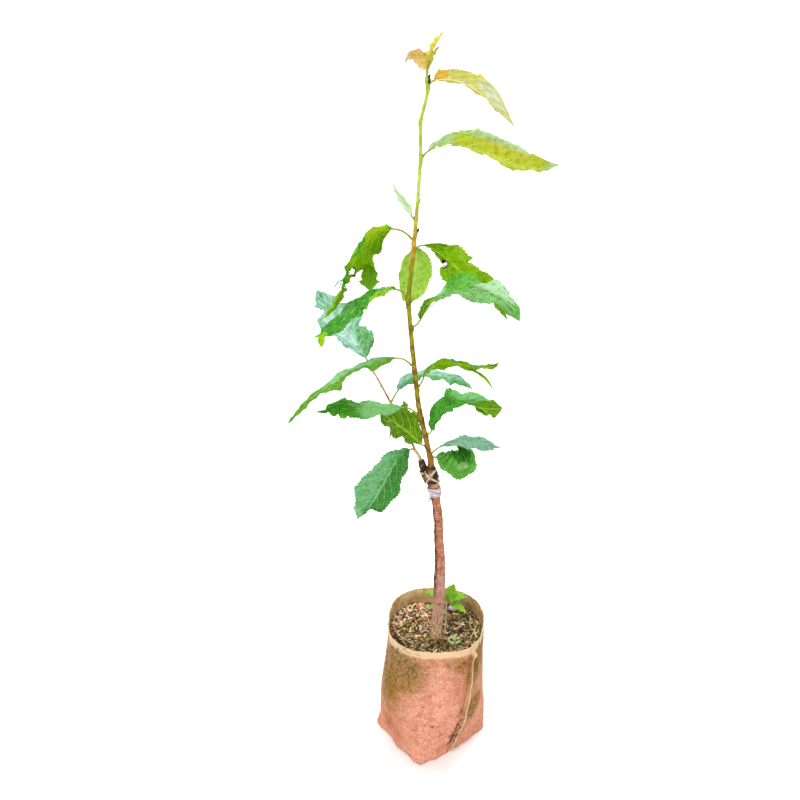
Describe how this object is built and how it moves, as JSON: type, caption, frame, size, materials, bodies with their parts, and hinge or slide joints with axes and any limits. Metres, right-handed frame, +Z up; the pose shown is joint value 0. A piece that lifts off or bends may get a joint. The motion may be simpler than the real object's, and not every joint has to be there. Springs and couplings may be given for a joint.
{
  "type": "grafted tree sapling in a fabric nursery bag",
  "caption": "Young grafted tree sapling with a bare lower stem, a leader, a thin side shoot and drooping leaves, standing on its root ball in a fabric nursery bag.",
  "frame": {"origin": "in the flat underside of the bag, below the middle of the bag's rim", "axes": "+Z up along the stem, -Y towards the front, +X to the right as seen from the front"},
  "size_m": [0.2863, 0.1768, 0.8548],
  "materials": {
    "bag_cloth": "matt non-woven cloth, stained by algae",
    "bag_seam_cloth": "matt cut edge, frayed",
    "soil": "moist bark and peat mix with moss and pale grit",
    "rootstock_bark": "matt bark",
    "graft_film": "thin pale film",
    "leader_bark": "young bark with a slight sheen",
    "shoot_bark": "young bark with a slight sheen",
    "young_leaf": "satin leaf",
    "basal_leaf": "satin leaf",
    "leaf_green": "satin leaf",
    "leaf_pale": "satin leaf",
    "leaf_yellow": "satin leaf",
    "leaf_gold": "satin leaf"
  },
  "bodies": {
    "root": {"grow_bag": "bag_cloth", "bag_seam": "bag_seam_cloth", "root_ball": "soil", "rootstock": "rootstock_bark", "graft_tape": "graft_film", "leader": "leader_bark", "side_shoot": "shoot_bark", "tip_leaves": "young_leaf", "basal_shoot": "basal_leaf", "leaf_01": "leaf_gold", "leaf_02": "leaf_gold", "leaf_03": "leaf_pale", "leaf_04": "leaf_yellow", "leaf_05": "leaf_yellow", "leaf_06": "leaf_yellow", "leaf_07": "leaf_green", "leaf_08": "leaf_green", "leaf_09": "leaf_green", "leaf_10": "leaf_green", "leaf_11": "leaf_yellow", "leaf_12": "leaf_pale", "leaf_13": "leaf_green", "leaf_14": "leaf_green", "leaf_15": "leaf_pale", "leaf_16": "leaf_green", "leaf_17": "leaf_green", "leaf_18": "leaf_pale"}
  },
  "joints": []
}
